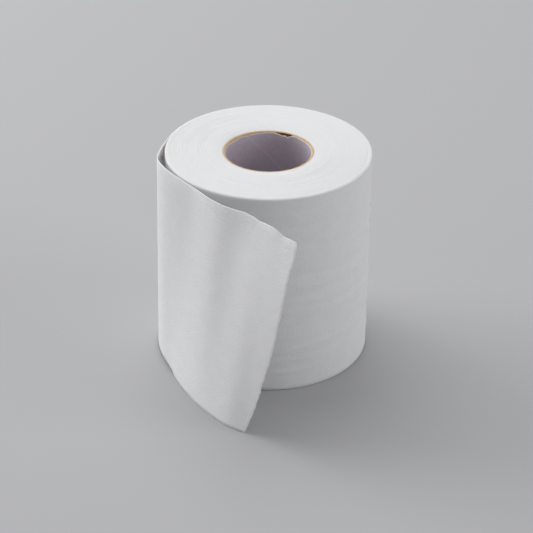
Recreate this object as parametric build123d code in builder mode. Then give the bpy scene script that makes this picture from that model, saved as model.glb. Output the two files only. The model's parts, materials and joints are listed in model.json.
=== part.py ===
"""A toilet paper roll with a loose tail, in millimetres.

A web of tissue is wound on a cardboard core, and its last turn has come away on the left and stands out in front
of the roll as a free tail. The roll stands on its end. The origin is on the core's axis at the base, +Z runs up
the bore, and the tail reaches out towards -Y.
"""
import os

from build123d import *

# The wound roll
ROLL_DIAMETER = 100.0
WEB_WIDTH = 105.0  # across the tissue, which is the roll's height
RIM_ROUNDING = 0.5  # the cut ends of the outer turns are slightly crushed

# The core
CORE_DIAMETER = 44.0  # outside, where the first turn is glued
CORE_WALL = 1.3

# The loose tail
TAIL_THICKNESS = 0.45  # soft embossed tissue of several plies
TAIL_ROOT_ANGLE = 152.0  # where the last turn is still wound tight, in degrees from +X
TAIL_ROOT_DEPTH = 1.5  # how far inside the roll's surface the tail's root is merged
CORNER_DIP = 1.5  # how far the leaning free corner drops below the roll's top

# Each edge of the tail as (angle in degrees from +X, distance outside the roll's surface).
# The foot spreads further out than the top, so the tail leans back towards the roll.
FOOT_COURSE = [
    (167.0, 0.4),
    (180.0, 3.2),
    (197.0, 4.2),
    (215.0, 6.3),
    (229.0, 11.8),
    (243.0, 20.3),
    (256.0, 30.8),
    (264.0, 36.4),
]
TOP_COURSE = [
    (167.0, 0.2),
    (178.0, 1.4),
    (190.0, 3.5),
    (201.0, 2.4),
    (214.0, 1.2),
    (230.0, 2.2),
    (241.0, 5.6),
    (250.0, 9.0),
    (261.0, 12.9),
    (269.4, 20.8),
    (278.1, 35.8),
]
FACE_STATIONS = 16  # places along the tail where its outer face is set off from its inner face

roll_radius = ROLL_DIAMETER / 2
core_radius = CORE_DIAMETER / 2
bore_radius = core_radius - CORE_WALL


def plan_points(course):
    """The points of the tail's inner face in plan, from its root inside the roll to the free corner."""
    polar = [(TAIL_ROOT_ANGLE, -TAIL_ROOT_DEPTH), *course]
    return [Vector(roll_radius + gap, 0).rotate(Axis.Z, angle) for angle, gap in polar]


def draw_band(course):
    """The tail's section in plan: an inner face, an outer face one thickness away, and two short ends."""
    inner = Spline(*plan_points(course))
    stations = [step / FACE_STATIONS for step in range(FACE_STATIONS + 1)]
    outer = Spline(*(inner @ u + TAIL_THICKNESS * (inner % u).rotate(Axis.Z, -90) for u in stations))
    Line(inner @ 0, outer @ 0)
    Line(inner @ 1, outer @ 1)


# The core: a tube of wound board, cut flush with the paper at both ends
with BuildPart() as core:
    with BuildSketch(Plane.XY):
        Circle(core_radius)
        Circle(bore_radius, mode=Mode.SUBTRACT)
    extrude(amount=WEB_WIDTH)

# The tail: one sheet that rises straight from its foot to its top edge
with BuildPart() as tail:
    with BuildSketch(Plane.XY) as foot:
        with BuildLine():
            draw_band(FOOT_COURSE)
        make_face()
    with BuildSketch(Plane.XY.offset(WEB_WIDTH)) as top:
        with BuildLine():
            draw_band(TOP_COURSE)
        make_face()
    loft(sections=[foot.sketch.face(), top.sketch.face()], ruled=True)

    # The top edge is level beside the roll and falls towards the free corner
    free_corner = plan_points(TOP_COURSE)[-1]
    reach = -free_corner.Y - roll_radius
    top_edge = Plane(
        origin=(0, -roll_radius, WEB_WIDTH),
        x_dir=(1, 0, 0),
        z_dir=(0, -CORNER_DIP, reach),
    )
    split(bisect_by=top_edge, keep=Keep.BOTTOM)

# The paper: every wound turn and the tail, which are one web
with BuildPart() as paper:
    with BuildSketch(Plane.XY):
        Circle(roll_radius)
        Circle(core_radius, mode=Mode.SUBTRACT)
    extrude(amount=WEB_WIDTH)
    outer_rims = paper.edges().filter_by(GeomType.CIRCLE).group_by(SortBy.RADIUS)[-1]
    fillet(outer_rims, radius=RIM_ROUNDING)
    add(tail.part)

core.part.label = "cardboard_core"
paper.part.label = "paper_roll"

os.makedirs("parts", exist_ok=True)
for piece in (core.part, paper.part):
    export_step(piece, f"parts/{piece.label}.step")
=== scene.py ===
"""The looks of a toilet paper roll: its wound turns, the loose tail of the last turn and the cardboard core.

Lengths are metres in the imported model's frame, or millimetres where a name ends in _mm. The web of tissue
is wound anticlockwise seen from above, and its last turn comes away on the -X side and stands out towards -Y.
"""

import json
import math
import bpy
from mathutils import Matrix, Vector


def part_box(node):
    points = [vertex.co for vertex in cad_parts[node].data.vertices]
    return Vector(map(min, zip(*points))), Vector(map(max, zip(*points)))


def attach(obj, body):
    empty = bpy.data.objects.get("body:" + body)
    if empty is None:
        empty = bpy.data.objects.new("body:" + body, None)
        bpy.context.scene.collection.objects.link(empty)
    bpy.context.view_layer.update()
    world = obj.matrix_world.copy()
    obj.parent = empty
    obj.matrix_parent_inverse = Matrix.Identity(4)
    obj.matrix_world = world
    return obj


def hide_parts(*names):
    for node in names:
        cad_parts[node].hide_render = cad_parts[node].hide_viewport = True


bl_info = {
    "name": "Tissue Roll",
    "version": (1, 0, 0),
    "blender": (4, 5, 0),
    "location": "3D View > Sidebar > Roll",
    "description": "Builds a roll of tissue with a loose tail on a cardboard core",
    "category": "Object",
}

import bpy
from bpy.props import FloatProperty, FloatVectorProperty, IntProperty, PointerProperty
from bpy.types import Operator, Panel, PropertyGroup
from mathutils import Matrix, Vector, noise

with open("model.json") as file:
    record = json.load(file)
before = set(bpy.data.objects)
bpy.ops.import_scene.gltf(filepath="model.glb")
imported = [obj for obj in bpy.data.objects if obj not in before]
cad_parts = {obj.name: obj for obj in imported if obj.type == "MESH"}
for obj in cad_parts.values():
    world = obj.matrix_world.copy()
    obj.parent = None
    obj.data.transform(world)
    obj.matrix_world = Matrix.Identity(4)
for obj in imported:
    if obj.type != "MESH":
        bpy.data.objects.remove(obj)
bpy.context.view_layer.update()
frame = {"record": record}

MM = 0.001
BODY = "root"
CORE_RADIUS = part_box("cardboard_core")[1].x
WEB_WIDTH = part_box("cardboard_core")[1].z
ROLL_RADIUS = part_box("paper_roll")[1].x
BORE_RADIUS = next(m["dims"]["r_mm"] for m in frame["record"]["mounts"] if m["kind"] == "bore") * MM

# The last turn of the web ends its round here and goes on as the tail, in degrees from +X
LAST_TURN_ENDS = 150.0

# The tail's inner face at its foot and at its top edge, as (degrees from +X, millimetres outside the roll).
# Both start just below the roll's surface, under the end of the last turn.
FOOT_COURSE = (
    (140.0, -0.7), (149.0, -0.47), (158.0, -0.36), (167.0, 0.4), (180.0, 3.2), (197.0, 4.2), (215.0, 6.3),
    (229.0, 11.8), (243.0, 20.3), (256.0, 30.8), (264.0, 36.4),
)
TOP_COURSE = (
    (140.0, -0.7), (149.0, -0.47), (160.0, -0.43), (170.0, -0.2), (178.0, 1.0), (190.0, 3.3), (201.0, 2.4),
    (214.0, 1.2), (230.0, 2.2), (241.0, 5.6), (250.0, 9.0), (261.0, 12.9), (269.4, 20.8), (278.1, 35.8),
)
# How far the tail runs on or stops short of a straight tear, as (share of the height, millimetres)
TORN_EDGE = (
    (0.0, -0.4), (0.1, 1.2), (0.2, 2.2), (0.35, 3.6), (0.5, 4.7), (0.65, 5.1), (0.78, 4.9), (0.88, 3.4),
    (0.95, 2.6), (0.985, 1.6), (1.0, 0.2),
)

# The butt seam of the core's inner ply is a helix, which passes +X at this height
SEAM_HEIGHT = 57.5 * MM
SEAM_RISE_PER_RADIAN = 21.7 * MM
SEAM_HALF_WIDTH = 0.45 * MM

# How far the roll's ends sink towards the core
DISH_DEPTH = 0.35 * MM
DISH_WIDTH = 5 * MM


def srgb(code):
    """The linear colour of an sRGB hex code."""
    channels = (int(code[i:i + 2], 16) / 255 for i in (1, 3, 5))
    return tuple(c / 12.92 if c <= 0.04045 else ((c + 0.055) / 1.055) ** 2.4 for c in channels)


def per_mm(size_mm):
    """The scale of a pattern on metre coordinates whose features are this many millimetres across."""
    return 1 / (size_mm * MM)


# ---------------------------------------------------------------------------------------------- settings


class WoundTurnsSettings(PropertyGroup):
    turns: IntProperty(
        name="Turns", description="Turns of tissue from the core to the surface", default=62, min=4
    )
    segments: IntProperty(name="Segments", description="Facets round one turn", default=144, min=32)
    rows: IntProperty(name="Rows", description="Facets up the side of the roll", default=84, min=8)
    ridge: FloatProperty(
        name="Ridge", description="How far each turn's cut edge stands above the gap beside it",
        default=0.10 * MM, unit="LENGTH",
    )
    wander: FloatProperty(
        name="Wander", description="How unevenly the turns end", default=0.45 * MM, unit="LENGTH"
    )
    rim: FloatProperty(
        name="Rim", description="How far the outermost turn's edge is crushed down",
        default=0.35 * MM, unit="LENGTH",
    )
    ripple: FloatProperty(
        name="Ripple", description="Depth of the soft ripples round the side", default=1.8 * MM,
        unit="LENGTH",
    )


class TailSettings(PropertyGroup):
    thickness: FloatProperty(
        name="Thickness", description="Thickness of the loose tissue", default=0.45 * MM, unit="LENGTH"
    )
    stations: IntProperty(name="Stations", description="Facets along the tail", default=190, min=20)
    corner_dip: FloatProperty(
        name="Corner dip", description="How far the free corner drops as the tail leans",
        default=1.5 * MM, unit="LENGTH",
    )
    bend: FloatProperty(
        name="Bend", description="How far the soft bend stands out below the free corner",
        default=3.6 * MM, unit="LENGTH",
    )
    crease: FloatProperty(
        name="Crease", description="How far the folded corner tips back", default=0.7 * MM, unit="LENGTH"
    )


class CoreSettings(PropertyGroup):
    segments: IntProperty(name="Segments", description="Facets round the core", default=288, min=32)
    drop: FloatProperty(
        name="Drop", description="How far the core is cut below the tissue", default=0.5 * MM,
        unit="LENGTH",
    )
    outer_ply: FloatProperty(
        name="Outer ply", description="Thickness of the brown outer plies", default=0.95 * MM,
        unit="LENGTH",
    )
    slit: FloatProperty(
        name="Slit", description="Width of the gap where the plies came apart", default=0.55 * MM,
        unit="LENGTH",
    )


class FinishSettings(PropertyGroup):
    tissue: FloatVectorProperty(
        name="Tissue", description="Bleached tissue", subtype="COLOR", default=srgb("#EAEAEB")
    )
    kraft: FloatVectorProperty(
        name="Kraft board", description="Cut edge of brown board", subtype="COLOR",
        default=srgb("#D8B892"),
    )
    greyboard: FloatVectorProperty(
        name="Greyboard", description="Recycled inner ply of the core", subtype="COLOR",
        default=srgb("#C4BAC4"),
    )
    floor: FloatVectorProperty(
        name="Floor", description="Matt grey paper sweep", subtype="COLOR", default=srgb("#BABABC")
    )


class RollSettings(PropertyGroup):
    wound: PointerProperty(type=WoundTurnsSettings)
    tail: PointerProperty(type=TailSettings)
    core: PointerProperty(type=CoreSettings)
    finish: PointerProperty(type=FinishSettings)


# ---------------------------------------------------------------------------------------------- helpers


def add_node(tree, kind, inputs=None, **settings):
    """Adds a node, sets its properties, and fills or links its inputs."""
    node = tree.nodes.new(kind)
    for name, value in settings.items():
        setattr(node, name, value)
    for socket, value in (inputs or {}).items():
        if isinstance(value, bpy.types.NodeSocket):
            tree.links.new(value, node.inputs[socket])
        else:
            node.inputs[socket].default_value = value
    return node


def new_material(name):
    """A node material with only its output, and that output's surface socket."""
    material = bpy.data.materials.new(name)
    material.use_nodes = True
    material.node_tree.nodes.clear()
    output = add_node(material.node_tree, "ShaderNodeOutputMaterial")
    return material, material.node_tree, output.inputs["Surface"]


def tissue_material(name, colour, grain_mm, grain_depth_mm, stretch):
    """Creped, bleached bath tissue: dead matt and soft, with a fine crinkle from creping and faint clouds.

    Light passes through a single sheet, which the subsurface scattering gives. The real crinkle is about
    0.3 mm, too fine to show, so it is drawn at about three times that.
    """
    material, tree, surface = new_material(name)
    web = add_node(tree, "ShaderNodeAttribute", attribute_name="web").outputs["Vector"]
    grain_at = add_node(
        tree, "ShaderNodeMapping", {"Vector": web, "Scale": stretch}
    ).outputs["Vector"]
    crinkle = add_node(
        tree, "ShaderNodeTexNoise",
        {"Vector": grain_at, "Scale": per_mm(grain_mm), "Detail": 3.0, "Roughness": 0.6},
    )
    clouds = add_node(
        tree, "ShaderNodeTexNoise", {"Vector": grain_at, "Scale": per_mm(7.0), "Detail": 4.0}
    )
    shades = add_node(
        tree, "ShaderNodeMapRange",
        {"Value": crinkle.outputs[0], 1: 0.3, 2: 0.7, 3: 0.965, 4: 1.0},
    )
    cloud_shades = add_node(
        tree, "ShaderNodeMapRange", {"Value": clouds.outputs[0], 1: 0.35, 2: 0.65, 3: 0.975, 4: 1.0}
    )
    shade = add_node(
        tree, "ShaderNodeMath", {0: shades.outputs[0], 1: cloud_shades.outputs[0]}, operation="MULTIPLY"
    )
    tone = add_node(
        tree, "ShaderNodeVectorMath", {0: tuple(colour), "Scale": shade.outputs[0]}, operation="SCALE"
    )
    bump = add_node(
        tree, "ShaderNodeBump",
        {"Height": crinkle.outputs[0], "Strength": 0.5, "Distance": grain_depth_mm * MM},
    )
    shader = add_node(
        tree, "ShaderNodeBsdfPrincipled",
        {
            "Base Color": tone.outputs[0], "Roughness": 0.95, "Normal": bump.outputs[0],
            "Specular IOR Level": 0.2, "Subsurface Weight": 0.9, "Subsurface Scale": 1.2 * MM,
            "Subsurface Radius": (1.0, 0.95, 0.9), "Sheen Weight": 0.08, "Sheen Roughness": 0.6,
        },
    )
    tree.links.new(shader.outputs[0], surface)
    return material


def board_material(name, colour, fleck, fleck_mm, seam=False):
    """Matt recycled board: grey or brown pulp with darker flecks, and on the inner ply a pale butt seam."""
    material, tree, surface = new_material(name)
    place = add_node(tree, "ShaderNodeTexCoord").outputs["Object"]
    pulp = add_node(
        tree, "ShaderNodeTexNoise", {"Vector": place, "Scale": per_mm(1.6), "Detail": 5.0}
    )
    flecks = add_node(
        tree, "ShaderNodeTexVoronoi", {"Vector": place, "Scale": per_mm(fleck_mm)}
    )
    fleck_mask = add_node(
        tree, "ShaderNodeMapRange",
        {"Value": flecks.outputs["Distance"], 1: 0.05, 2: 0.12, 3: 0.4, 4: 0.0},
    )
    tones = add_node(
        tree, "ShaderNodeMix",
        {
            "Factor": pulp.outputs[0],
            6: (*(c * 0.86 for c in colour), 1.0),
            7: (*(c * 1.1 for c in colour), 1.0),
        },
        data_type="RGBA",
    )
    colour_socket = add_node(
        tree, "ShaderNodeMix",
        {"Factor": fleck_mask.outputs[0], 6: tones.outputs[2], 7: (*fleck, 1.0)},
        data_type="RGBA",
    ).outputs[2]
    if seam:
        # The ply is a strip laid as a helix: its edges meet in one slanting line up the bore
        split = add_node(tree, "ShaderNodeSeparateXYZ", {0: place})
        angle = add_node(
            tree, "ShaderNodeMath", {0: split.outputs[1], 1: split.outputs[0]}, operation="ARCTAN2"
        )
        height = add_node(
            tree, "ShaderNodeMath",
            {0: angle.outputs[0], 1: -SEAM_RISE_PER_RADIAN, 2: split.outputs[2]},
            operation="MULTIPLY_ADD",
        )
        on_seam = add_node(
            tree, "ShaderNodeMath", {0: height.outputs[0], 1: SEAM_HEIGHT, 2: SEAM_HALF_WIDTH},
            operation="COMPARE",
        )
        pale = add_node(
            tree, "ShaderNodeMath", {0: on_seam.outputs[0], 1: 0.16}, operation="MULTIPLY"
        )
        colour_socket = add_node(
            tree, "ShaderNodeMix",
            {
                "Factor": pale.outputs[0], 6: colour_socket,
                7: (*(min(1.0, c * 1.9) for c in colour), 1.0),
            },
            data_type="RGBA",
        ).outputs[2]
    bump = add_node(
        tree, "ShaderNodeBump", {"Height": pulp.outputs[0], "Strength": 0.4, "Distance": 0.12 * MM}
    )
    shader = add_node(
        tree, "ShaderNodeBsdfPrincipled",
        {
            "Base Color": colour_socket, "Roughness": 0.85, "Normal": bump.outputs[0],
            "Specular IOR Level": 0.3,
        },
    )
    tree.links.new(shader.outputs[0], surface)
    return material


def new_object(name, mesh):
    """Links a new object at the origin."""
    piece = bpy.data.objects.new(name, mesh)
    bpy.context.scene.collection.objects.link(piece)
    return piece


def worked_in(piece, modifier):
    """The piece's mesh with its modifier worked in; the modifier is taken off."""
    evaluated = piece.evaluated_get(bpy.context.evaluated_depsgraph_get())
    mesh = bpy.data.meshes.new_from_object(evaluated)
    piece.modifiers.remove(modifier)
    return mesh


def plain_mesh(name, tree, values):
    """Runs a Geometry Nodes tree on an empty mesh and returns its result as a plain object."""
    maker = new_object(name + "_maker", bpy.data.meshes.new(name + "_maker"))
    modifier = maker.modifiers.new("Nodes", "NODES")
    modifier.node_group = tree
    sockets = {s.name: s.identifier for s in tree.interface.items_tree if s.in_out == "INPUT"}
    for label, value in values.items():
        modifier[sockets[label]] = value
    mesh = worked_in(maker, modifier)
    mesh.name = name
    bpy.data.objects.remove(maker)
    if mesh.materials[0] is None:  # grids that are joined bring an empty slot along
        mesh.materials.pop(index=0)
    mesh.shade_smooth()
    return new_object(name, mesh)


# ------------------------------------------------------------------------------------------ wound turns


def wound_turns_tree(end_material, side_material):
    """The roll without its tail: a spiral of ridges on each end, a rippled side, and the bore's wall."""
    tree = bpy.data.node_groups.new("wound_turns", "GeometryNodeTree")
    for label, kind in (
        ("Turns", "NodeSocketInt"), ("Segments", "NodeSocketInt"), ("Rows", "NodeSocketInt"),
        ("Core radius", "NodeSocketFloat"), ("Turn thickness", "NodeSocketFloat"),
        ("Height", "NodeSocketFloat"), ("Ridge", "NodeSocketFloat"), ("Wander", "NodeSocketFloat"),
        ("Rim", "NodeSocketFloat"), ("Ripple", "NodeSocketFloat"), ("Start angle", "NodeSocketFloat"),
    ):
        tree.interface.new_socket(label, in_out="INPUT", socket_type=kind)
    tree.interface.new_socket("Geometry", in_out="OUTPUT", socket_type="NodeSocketGeometry")
    given = add_node(tree, "NodeGroupInput").outputs
    position = add_node(tree, "GeometryNodeInputPosition").outputs[0]
    place = add_node(tree, "ShaderNodeSeparateXYZ", {0: position}).outputs

    def maths(operation, a, b=0.0, c=0.0):
        return add_node(tree, "ShaderNodeMath", {0: a, 1: b, 2: c}, operation=operation).outputs[0]

    def eased(value, low, high, to_low, to_high):
        """Goes smoothly from one value to another as the input goes from low to high."""
        return add_node(
            tree, "ShaderNodeMapRange",
            {"Value": value, 1: low, 2: high, 3: to_low, 4: to_high}, interpolation_type="SMOOTHSTEP",
        ).outputs[0]

    def placed(grid, radius, angle, height, web, flip):
        """Bends a flat grid into place, with its place on the web kept for the materials."""
        flat = add_node(tree, "ShaderNodeCombineXYZ", {0: radius, 2: height}).outputs[0]
        turned = add_node(
            tree, "ShaderNodeVectorRotate", {"Vector": flat, "Angle": angle}, rotation_type="Z_AXIS"
        ).outputs[0]
        stored = add_node(
            tree, "GeometryNodeStoreNamedAttribute", {0: grid, "Name": "web", "Value": web},
            data_type="FLOAT_VECTOR",
        ).outputs[0]
        moved = add_node(tree, "GeometryNodeSetPosition", {0: stored, "Position": turned}).outputs[0]
        return add_node(tree, "GeometryNodeFlipFaces", {0: moved}).outputs[0] if flip else moved

    turns, segments, rows = given["Turns"], given["Segments"], given["Rows"]
    thickness, height, start = given["Turn thickness"], given["Height"], given["Start angle"]
    half_turns = maths("MULTIPLY", turns, 0.5)

    # The cut ends: one long strip along the spiral, with a ridge across each turn
    strip = add_node(
        tree, "GeometryNodeMeshGrid",
        {
            "Size X": turns, "Size Y": 1.0,
            "Vertices X": maths("MULTIPLY_ADD", turns, segments, 1.0), "Vertices Y": 4,
        },
    ).outputs[0]
    turn = maths("ADD", place[0], half_turns)
    across = maths("ADD", place[1], 0.5)
    layers = maths("ADD", turn, across)
    radius = maths("MULTIPLY_ADD", maths("SUBTRACT", layers, 1.0), thickness, given["Core radius"])
    radius = maths("MAXIMUM", radius, given["Core radius"])
    angle = maths("MULTIPLY_ADD", turn, math.tau, start)
    last_turn = maths("SUBTRACT", turns, 1.0)
    crest = maths("PINGPONG", across, 0.5)
    crest = maths("MULTIPLY", crest, eased(layers, 1.0, 1.6, 0.0, 3.0))
    ending = eased(turn, maths("SUBTRACT", turns, 0.02), turns, 1.0, 0.0)
    crest = maths("MULTIPLY", crest, ending)
    unevenness = add_node(
        tree, "ShaderNodeTexNoise",
        {"W": turn, "Scale": 2.3, "Detail": 3.0, "Roughness": 0.65}, noise_dimensions="1D",
    ).outputs[0]
    uneven = maths("MULTIPLY", maths("SUBTRACT", unevenness, 0.5), given["Wander"])
    rise = maths("MULTIPLY", maths("ADD", uneven, given["Ridge"]), crest)
    dish = eased(radius, CORE_RADIUS, CORE_RADIUS + DISH_WIDTH, DISH_DEPTH, 0.0)
    base = maths("SUBTRACT", maths("SUBTRACT", height, given["Ridge"]), dish)
    crushed = maths("MULTIPLY", eased(layers, last_turn, turns, 0.0, 1.0), given["Rim"])
    end_height = maths("SUBTRACT", maths("ADD", base, rise), crushed)
    spiral_length = maths("MULTIPLY", maths("MULTIPLY", radius, turn), math.tau)
    end_web = add_node(tree, "ShaderNodeCombineXYZ", {0: spiral_length, 1: radius}).outputs[0]
    top = placed(strip, radius, angle, end_height, end_web, True)
    bottom = add_node(
        tree, "GeometryNodeTransform",
        {
            0: add_node(tree, "GeometryNodeFlipFaces", {0: top}).outputs[0],
            "Scale": (1.0, 1.0, -1.0),
            "Translation": add_node(tree, "ShaderNodeCombineXYZ", {2: height}).outputs[0],
        },
    ).outputs[0]
    ends = add_node(tree, "GeometryNodeJoinGeometry")
    for geometry in (top, bottom):
        tree.links.new(geometry, ends.inputs[0])
    marked = add_node(
        tree, "GeometryNodeStoreNamedAttribute",
        {0: ends.outputs[0], "Name": "cut_end", "Value": True}, data_type="BOOLEAN", domain="FACE",
    ).outputs[0]

    # The side: the outer face of the last turn, with soft ripples that die out at both rims
    edge_height = maths("SUBTRACT", maths("SUBTRACT", height, given["Ridge"]), given["Rim"])
    low_height = maths("ADD", given["Ridge"], given["Rim"])
    columns = maths("ADD", segments, 1.0)
    levels = maths("ADD", rows, 1.0)
    side_grid = add_node(
        tree, "GeometryNodeMeshGrid",
        {"Size X": 1.0, "Size Y": 1.0, "Vertices X": columns, "Vertices Y": levels},
    ).outputs[0]
    round_share = maths("ADD", place[0], 0.5)
    up_share = maths("ADD", place[1], 0.5)
    side_angle = maths("MULTIPLY_ADD", round_share, math.tau, start)
    side_height = add_node(
        tree, "ShaderNodeMapRange", {"Value": up_share, 3: low_height, 4: edge_height}
    ).outputs[0]
    inner_face = maths("MULTIPLY_ADD", last_turn, thickness, given["Core radius"])
    # The ripples are long round the roll and about 5 mm apart up it, so the noise is read off a tall thin tube
    tube_height = maths("MULTIPLY", side_height, 170.0)
    tube = add_node(tree, "ShaderNodeCombineXYZ", {0: 0.5, 2: tube_height}).outputs[0]
    around = add_node(
        tree, "ShaderNodeVectorRotate", {"Vector": tube, "Angle": side_angle}, rotation_type="Z_AXIS"
    ).outputs[0]
    swell = add_node(
        tree, "ShaderNodeTexNoise",
        {"Vector": around, "Scale": 1.25, "Detail": 3.0, "Roughness": 0.55, "Distortion": 0.6},
    ).outputs[0]
    strength = given["Ripple"]
    for fade in (
        eased(up_share, 0.0, 0.12, 0.0, 1.0), eased(up_share, 0.9, 1.0, 1.0, 0.0),
        eased(round_share, 0.0, 0.03, 0.0, 1.0), eased(round_share, 0.90, 0.965, 1.0, 0.0),
    ):
        strength = maths("MULTIPLY", strength, fade)
    ripple = maths("MULTIPLY", maths("SUBTRACT", swell, 0.5), strength)
    spiral_radius = maths("MULTIPLY_ADD", round_share, thickness, inner_face)
    side_radius = maths("ADD", spiral_radius, ripple)
    side_web = add_node(
        tree, "ShaderNodeCombineXYZ", {0: maths("MULTIPLY", side_angle, ROLL_RADIUS), 1: side_height}
    ).outputs[0]
    side = placed(side_grid, side_radius, side_angle, side_height, side_web, False)

    # The step where the last turn ends its round, which the tail goes on from
    step_grid = add_node(
        tree, "GeometryNodeMeshGrid",
        {"Size X": 1.0, "Size Y": 1.0, "Vertices X": 4, "Vertices Y": levels},
    ).outputs[0]
    step = placed(step_grid, spiral_radius, start, side_height, side_web, True)

    # The wall of the hole that the core fills
    wall_grid = add_node(
        tree, "GeometryNodeMeshGrid",
        {"Size X": 1.0, "Size Y": 1.0, "Vertices X": columns, "Vertices Y": 2},
    ).outputs[0]
    wall_low = maths("ADD", given["Ridge"], DISH_DEPTH)
    wall_high = maths("SUBTRACT", height, wall_low)
    wall_height = add_node(
        tree, "ShaderNodeMapRange", {"Value": up_share, 3: wall_low, 4: wall_high}
    ).outputs[0]
    wall = placed(wall_grid, given["Core radius"], side_angle, wall_height, side_web, True)

    roll = add_node(tree, "GeometryNodeJoinGeometry")
    for geometry in (marked, side, step, wall):
        tree.links.new(geometry, roll.inputs[0])
    welded = add_node(
        tree, "GeometryNodeMergeByDistance", {0: roll.outputs[0], "Distance": 0.004 * MM}
    ).outputs[0]
    plain = add_node(tree, "GeometryNodeRealizeInstances", {0: welded}).outputs[0]
    dressed = add_node(
        tree, "GeometryNodeSetMaterial", {0: plain, "Material": side_material}
    ).outputs[0]
    is_end = add_node(
        tree, "GeometryNodeInputNamedAttribute", {"Name": "cut_end"}, data_type="BOOLEAN"
    ).outputs[0]
    finished = add_node(
        tree, "GeometryNodeSetMaterial", {0: dressed, "Selection": is_end, "Material": end_material}
    ).outputs[0]
    add_node(tree, "NodeGroupOutput", {0: finished})
    return tree


class ROLL_OT_wound_turns(Operator):
    """Build the wound turns of tissue round the core"""

    bl_idname = "roll.wound_turns"
    bl_label = "Wound turns"

    def execute(self, context):
        settings = context.scene.roll.wound
        colour = context.scene.roll.finish.tissue
        ends = tissue_material("cut_ends_of_creped_tissue", colour, 0.9, 0.05, (0.12, 1.0, 1.0))
        side = tissue_material("creped_bath_tissue", colour, 1.0, 0.4, (1.0, 1.0, 1.0))
        piece = plain_mesh("wound_turns", wound_turns_tree(ends, side), {
            "Turns": settings.turns,
            "Segments": settings.segments,
            "Rows": settings.rows,
            "Core radius": CORE_RADIUS,
            "Turn thickness": (ROLL_RADIUS - CORE_RADIUS) / settings.turns,
            "Height": WEB_WIDTH,
            "Ridge": settings.ridge,
            "Wander": settings.wander,
            "Rim": settings.rim,
            "Ripple": settings.ripple,
            "Start angle": math.radians(LAST_TURN_ENDS),
        })
        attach(piece, BODY)
        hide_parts("paper_roll")
        return {"FINISHED"}


# ------------------------------------------------------------------------------------------ loose tail

# Lengths along the tail from its hidden start under the last turn
SIDE_ENDS = 9 * MM  # the roll's side covers the tail up to here
RIPPLES_END = 60 * MM
LIFT_STARTS = 60 * MM  # the tail lies against the roll up to here
DIP_STARTS, DIP_RUN = 70 * MM, 80 * MM  # the top edge sinks over this run
CORNER_STARTS, CORNER_RUN = 128 * MM, 20 * MM  # and sinks further here
FOOT_STEP_AT = 74 * MM
TOP_NOTCHES = ((113.0, -0.3), (122.0, 0.5), (137.0, 0.6))  # (millimetres along, millimetres deep)
NOTCH_WIDTH_MM = 3.0

# Depths and heights
RIPPLE_DEPTH = 0.22 * MM
CURL = 0.5 * MM
CRUSH = 0.4 * MM
FOOT_STEP = 1.2 * MM

# Shares of the tail's length and height, and of the corner's dip
BEND_STARTS, BEND_DROP = 0.5, 0.22
CREASE_ALONG, CREASE_UP = 0.925, 0.905
CORNER_DIP = 1.3
ROW_CROWDING = 1.25  # the rows lie closer together towards the top edge


def smooth_path(points, samples=16):
    """Closely spaced points on a smooth curve through the given points in plan."""
    padded = [points[0] * 2 - points[1], *points, points[-1] * 2 - points[-2]]
    path = []
    for a, b, c, d in zip(padded, padded[1:], padded[2:], padded[3:]):
        for step in range(samples):
            t = step / samples
            path.append(
                0.5 * (2 * b + (c - a) * t + (2 * a - 5 * b + 4 * c - d) * t**2
                       + (3 * b - a - 3 * c + d) * t**3)
            )
    return [*path, points[-1]]


class Edge:
    """One long edge of the tail in plan, met by its length from the root."""

    def __init__(self, course):
        corners = [
            Vector((math.cos(math.radians(angle)), math.sin(math.radians(angle))))
            * (ROLL_RADIUS + gap_mm * MM)
            for angle, gap_mm in course
        ]
        self.path = smooth_path(corners)
        self.reached = [0.0]
        for a, b in zip(self.path, self.path[1:]):
            self.reached.append(self.reached[-1] + (b - a).length)
        self.length = self.reached[-1]

    def at(self, length):
        """The point this far from the root; past the end it runs straight on."""
        k = next((i for i, r in enumerate(self.reached) if r > length), len(self.reached) - 1)
        a, b = self.path[k - 1], self.path[k]
        return a + (b - a) * (length - self.reached[k - 1]) / (self.reached[k] - self.reached[k - 1])


def ramp(points, x):
    """The value at x on straight lines through (x, value) points."""
    for (x0, y0), (x1, y1) in zip(points, points[1:]):
        if x <= x1:
            return y0 + (y1 - y0) * (x - x0) / (x1 - x0)
    return points[-1][1]


def smoothstep(x):
    """Goes smoothly from 0 to 1 as x does, and stays there outside."""
    x = min(1.0, max(0.0, x))
    return x * x * (3 - 2 * x)


def ragged(place, size_mm, depth_mm):
    """A fixed random wander along a torn edge."""
    return noise.noise(Vector((place / (size_mm * MM), 3.7, 9.1))) * depth_mm * MM


def stands_out(settings, share, up, reach, loose):
    """How far the sheet stands out from straight lines between its foot and its top edge."""
    # A soft bend slants down to the torn edge, and the sheet tips back above it
    past = smoothstep((share - BEND_STARTS) / (1 - BEND_STARTS))
    bend_up = 1 - BEND_DROP * past
    swell = settings.bend * past * smoothstep(min(up / bend_up, (1 - up) / max(0.02, 1 - bend_up)))
    # The free corner is creased and folded back a little further
    crease = (share - CREASE_ALONG) / (1 - CREASE_ALONG) + (up - CREASE_UP) / (1 - CREASE_UP) - 1
    tip = settings.crease * max(0.0, crease)
    # The ripples of the roll's side go on into the tail and fade out
    close = smoothstep((reach - SIDE_ENDS) / (8 * MM)) * smoothstep((RIPPLES_END - reach) / (35 * MM))
    ripple_at = Vector((reach / (26 * MM), up * WEB_WIDTH / (4.7 * MM), 2.0))
    ripple = RIPPLE_DEPTH * close * noise.noise(ripple_at) * math.sin(math.pi * up) ** 0.5
    # The cut top edge curls back a little
    curl = CURL * loose * smoothstep((up - 0.975) / 0.025)
    return swell + ripple - tip - curl


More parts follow.
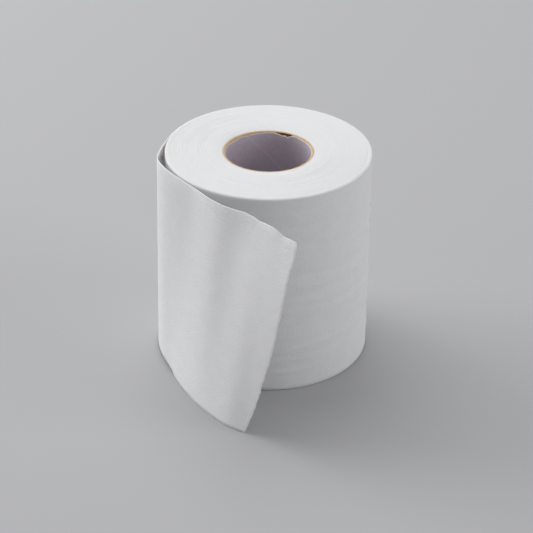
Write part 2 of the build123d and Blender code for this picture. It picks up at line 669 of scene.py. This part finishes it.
def height_of(settings, up, reach, loose):
    """How high a point of the sheet lies, once its edges are sunk, notched, crushed and stepped."""
    dip = settings.corner_dip * smoothstep((reach - DIP_STARTS) / DIP_RUN)
    dip += settings.corner_dip * CORNER_DIP * smoothstep((reach - CORNER_STARTS) / CORNER_RUN)
    notches = sum(
        depth_mm * MM * math.exp(-((reach / MM - at_mm) / NOTCH_WIDTH_MM) ** 2)
        for at_mm, depth_mm in TOP_NOTCHES
    )
    # Near the root the top edge is crushed like the roll's rim
    crushed = CRUSH * smoothstep((34 * MM - reach) / (20 * MM))
    lost = notches + ragged(reach, 4.0, 0.35) * loose + crushed
    # The foot is held off the floor on one stretch, which ends in a short step
    raised = FOOT_STEP * smoothstep((FOOT_STEP_AT - reach) / FOOT_STEP) * smoothstep(reach / (20 * MM) - 1)
    z = up * (WEB_WIDTH - dip) - lost * smoothstep((up - 0.9) / 0.1)
    return max(0.0, z + raised * smoothstep((0.06 - up) / 0.06))


class ROLL_OT_loose_tail(Operator):
    """Build the loose tail of the last turn"""

    bl_idname = "roll.loose_tail"
    bl_label = "Loose tail"

    def execute(self, context):
        settings = context.scene.roll.tail
        rows = context.scene.roll.wound.rows
        foot, top = Edge(FOOT_COURSE), Edge(TOP_COURSE)
        vertices, web = [], []
        for i in range(settings.stations + 1):
            share = i / settings.stations
            for j in range(rows + 1):
                up = 1 - (1 - j / rows) ** ROW_CROWDING
                height = up * WEB_WIDTH
                straight_tear = foot.length + (top.length - foot.length) * up
                tear = ramp(TORN_EDGE, up) * MM
                tear += ragged(height, 3.1, 0.5) + ragged(height + 1, 1.1, 0.3)
                reach = share * (straight_tear + tear * share**4)
                loose = smoothstep((reach - LIFT_STARTS) / (straight_tear - LIFT_STARTS))

                spot = foot.at(reach).lerp(top.at(reach), up)
                along = foot.at(reach + MM).lerp(top.at(reach + MM), up) - spot
                outward = Vector((along.y, -along.x)).normalized()
                spot += outward * stands_out(settings, share, up, reach, loose)
                vertices.append((spot.x, spot.y, height_of(settings, up, reach, loose)))
                web.append((reach, height, 0.0))
        faces = [
            (a, a + rows + 1, a + rows + 2, a + 1)
            for i in range(settings.stations)
            for a in range(i * (rows + 1), i * (rows + 1) + rows)
        ]
        mesh = bpy.data.meshes.new("loose_tail")
        mesh.from_pydata(vertices, [], faces)
        mesh.attributes.new("web", "FLOAT_VECTOR", "POINT").data.foreach_set(
            "vector", [c for place in web for c in place]
        )
        mesh.shade_smooth()
        mesh.materials.append(bpy.data.materials["creped_bath_tissue"])
        piece = new_object("loose_tail", mesh)
        solid = piece.modifiers.new("Thickness", "SOLIDIFY")
        solid.thickness = settings.thickness
        solid.offset = 1.0
        piece.data = worked_in(piece, solid)
        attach(piece, BODY)
        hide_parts("paper_roll")
        return {"FINISHED"}


# ------------------------------------------------------------------------------------------------ core

# The slots of the core's materials
# The fourth slot is kraft painted dark brown: painted shade for the faces deep in the gap between the plies
KRAFT, GREYBOARD, FRAYED, GAP_SHADE = range(4)

# Where the plies came apart, and where the inner ply is torn down, in degrees from +X
SLIT_AT, SLIT_REACH = 68, 10
TORN_AT, TORN_REACH = 140, 40

FOOT_CUT = 0.5 * MM  # the core stops this far above the floor
GROOVE_DEPTH = 3.2 * MM  # how deep the gap between the plies goes


def core_section(settings, angle):
    """The core's section at one angle, as (radius, height, slot of the face from there to the next)."""
    top = WEB_WIDTH - settings.drop
    spot = Vector((math.cos(angle), math.sin(angle), 0.0))
    degrees = math.degrees(angle)
    rough = noise.noise(spot * 7.0) * 0.5 + noise.noise(spot * 23.0) * 0.5
    slit = settings.slit * math.exp(-((degrees - SLIT_AT) / SLIT_REACH) ** 4) + 0.02 * MM
    openness = slit / settings.slit
    torn = math.exp(-((degrees - TORN_AT) / TORN_REACH) ** 2)

    kraft_top = top + 0.12 * MM * noise.noise(spot * 11.0)
    kraft_inside = CORE_RADIUS - settings.outer_ply
    lip = 0.12 * MM * noise.noise(spot * 15.0)
    ply_top = top - 0.1 * MM - max(0.0, 0.30 + 0.55 * rough) * MM
    ply_top -= 0.9 * MM * torn * (0.7 + rough) + 1.2 * MM * openness * (0.8 + rough)
    ply_outside = kraft_inside - slit
    ply_inside = min(ply_outside - 0.35 * MM, BORE_RADIUS)
    flare = BORE_RADIUS - (BORE_RADIUS - ply_inside) * 0.6
    groove = top - GROOVE_DEPTH
    open_here = openness > 0.3
    # Where the plies gape, the gap's walls and floor take the dark kraft, which is painted shade in the gap
    groove_wall, ply_back = (GAP_SHADE, GAP_SHADE) if open_here else (KRAFT, FRAYED)
    return (
        (CORE_RADIUS, FOOT_CUT, KRAFT),
        (CORE_RADIUS, kraft_top - 0.1 * MM, KRAFT),
        (CORE_RADIUS - 0.08 * MM, kraft_top, KRAFT),
        (kraft_inside + 0.1 * MM + lip, kraft_top + lip, KRAFT),
        (kraft_inside, kraft_top - 0.15 * MM, groove_wall),
        (kraft_inside, groove, groove_wall),
        (ply_outside, groove, ply_back),
        (ply_outside, ply_top, FRAYED),
        (ply_inside + 0.08 * MM, ply_top - 0.05 * MM, FRAYED),
        (ply_inside, ply_top - 0.25 * MM, GREYBOARD),
        (flare, top - 4.5 * MM, GREYBOARD),
        (BORE_RADIUS, top - 9 * MM, GREYBOARD),
        (BORE_RADIUS, WEB_WIDTH / 2, GREYBOARD),
        (BORE_RADIUS, FOOT_CUT + 0.2 * MM, KRAFT),
        (BORE_RADIUS + 0.1 * MM, FOOT_CUT, KRAFT),
    )


class ROLL_OT_core(Operator):
    """Build the cardboard core with its brown outer plies and ragged grey inner ply"""

    bl_idname = "roll.core"
    bl_label = "Cardboard core"

    def execute(self, context):
        settings = context.scene.roll.core
        finish = context.scene.roll.finish
        kraft = board_material("kraft_board_cut_edge", finish.kraft, srgb("#8A6A45"), 0.9)
        grey = board_material(
            "greyboard_inner_ply", finish.greyboard, srgb("#5A4A48"), 3.2, seam=True
        )
        frayed = board_material("frayed_pulp", srgb("#E6E2DE"), srgb("#C9BFB4"), 1.2)
        # Kraft painted dark brown with darker flecks: painted shade for the faces deep in the gap between the
        # plies
        gap_shade_kraft = board_material("kraft_board_painted_gap_shade", srgb("#6B4A26"), srgb("#3E2A14"), 1.0)
        angles = [math.tau * i / settings.segments for i in range(settings.segments)]
        sections = [core_section(settings, angle) for angle in angles]
        vertices = [
            (radius * math.cos(angle), radius * math.sin(angle), height)
            for angle, section in zip(angles, sections)
            for radius, height, _ in section
        ]
        count = len(sections[0])
        faces, slots = [], []
        for i, section in enumerate(sections):
            here, there = i * count, (i + 1) % len(sections) * count
            for j, (_, _, slot) in enumerate(section):
                k = (j + 1) % count
                faces.append((here + j, there + j, there + k, here + k))
                slots.append(slot)
        mesh = bpy.data.meshes.new("core_tube")
        mesh.from_pydata(vertices, [], faces)
        for material in (kraft, grey, frayed, gap_shade_kraft):
            mesh.materials.append(material)
        mesh.polygons.foreach_set("material_index", slots)
        mesh.shade_smooth()
        piece = new_object("core_tube", mesh)
        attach(piece, BODY)
        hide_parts("cardboard_core")
        return {"FINISHED"}


# ----------------------------------------------------------------------------------------------- stage


def softbox(name, size, direction, distance, strength):
    """A large soft lamp that looks at the roll from a direction."""
    data = bpy.data.lights.new(name, "AREA")
    data.shape = "DISK"
    data.size = size
    data.energy = strength
    lamp = new_object(name, data)
    aim = Vector(direction).normalized()
    lamp.location = aim * distance + Vector((0, 0, WEB_WIDTH / 2))
    lamp.rotation_mode = "QUATERNION"
    lamp.rotation_quaternion = aim.to_track_quat("Z", "Y")


class ROLL_OT_stage(Operator):
    """Set the floor, the lamps and the camera"""

    bl_idname = "roll.stage"
    bl_label = "Stage"

    def execute(self, context):
        scene = context.scene
        finish = scene.roll.finish
        camera = bpy.data.cameras.new("camera")
        camera.sensor_width = 36.0
        camera.lens = 148.6
        camera.clip_start, camera.clip_end = 0.05, 50.0
        elevation, tilt, distance = math.radians(30.09), math.radians(0.72), 1.086
        target = Vector((-0.17, 0.0, 40.58)) * MM
        back = Vector((0, -math.cos(elevation), math.sin(elevation)))
        right = Vector((1, 0, 0))
        up = back.cross(right)
        turned_right = right * math.cos(tilt) + up * math.sin(tilt)
        turned_up = up * math.cos(tilt) - right * math.sin(tilt)
        place = Matrix((turned_right, turned_up, back)).transposed().to_4x4()
        place.translation = target + back * distance
        eye = new_object("camera", camera)
        eye.matrix_world = place
        scene.camera = eye

        material, tree, surface = new_material("matt_grey_paper_sweep")
        shader = add_node(
            tree, "ShaderNodeBsdfPrincipled",
            {"Base Color": (*finish.floor, 1.0), "Roughness": 0.9, "Specular IOR Level": 0.15},
        )
        tree.links.new(shader.outputs[0], surface)
        mesh = bpy.data.meshes.new("floor")
        reach = 6.0
        mesh.from_pydata(
            [(-reach, -reach, 0), (reach, -reach, 0), (reach, reach, 0), (-reach, reach, 0)],
            [], [(0, 1, 2, 3)],
        )
        mesh.materials.append(material)
        new_object("floor", mesh)

        world = bpy.data.worlds.new("studio")
        world.use_nodes = True
        sky = world.node_tree.nodes["Background"].inputs
        sky["Color"].default_value = (0.98, 0.99, 1.0, 1.0)
        sky["Strength"].default_value = 0.41
        scene.world = world
        softbox("overhead_softbox", 1.5, (-0.22, 0.55, 1.1), 1.8, 12.6)
        softbox("left_softbox", 1.6, (-1.0, 0.45, 0.42), 1.8, 19.0)
        softbox("right_softbox", 1.3, (0.95, -0.28, 0.38), 2.0, 9.0)
        scene.view_settings.view_transform = "Standard"
        return {"FINISHED"}


class ROLL_PT_sidebar(Panel):
    """The roll's pieces and their sizes"""

    bl_idname = "ROLL_PT_sidebar"
    bl_label = "Tissue roll"
    bl_space_type = "VIEW_3D"
    bl_region_type = "UI"
    bl_category = "Roll"

    def draw(self, context):
        settings = context.scene.roll
        for group, operator in (
            (settings.wound, "roll.wound_turns"), (settings.tail, "roll.loose_tail"),
            (settings.core, "roll.core"), (settings.finish, "roll.stage"),
        ):
            box = self.layout.box()
            for name in group.__annotations__:
                box.prop(group, name)
            box.operator(operator)


CLASSES = (
    WoundTurnsSettings, TailSettings, CoreSettings, FinishSettings, RollSettings,
    ROLL_OT_wound_turns, ROLL_OT_loose_tail, ROLL_OT_core, ROLL_OT_stage, ROLL_PT_sidebar,
)


def register():
    for cls in CLASSES:
        bpy.utils.register_class(cls)
    bpy.types.Scene.roll = PointerProperty(type=RollSettings)


def unregister():
    del bpy.types.Scene.roll
    for cls in reversed(CLASSES):
        bpy.utils.unregister_class(cls)


def main():
    register()
    bpy.ops.roll.stage()
    bpy.ops.roll.wound_turns()
    bpy.ops.roll.loose_tail()
    bpy.ops.roll.core()


if __name__ == "__main__":
    main()
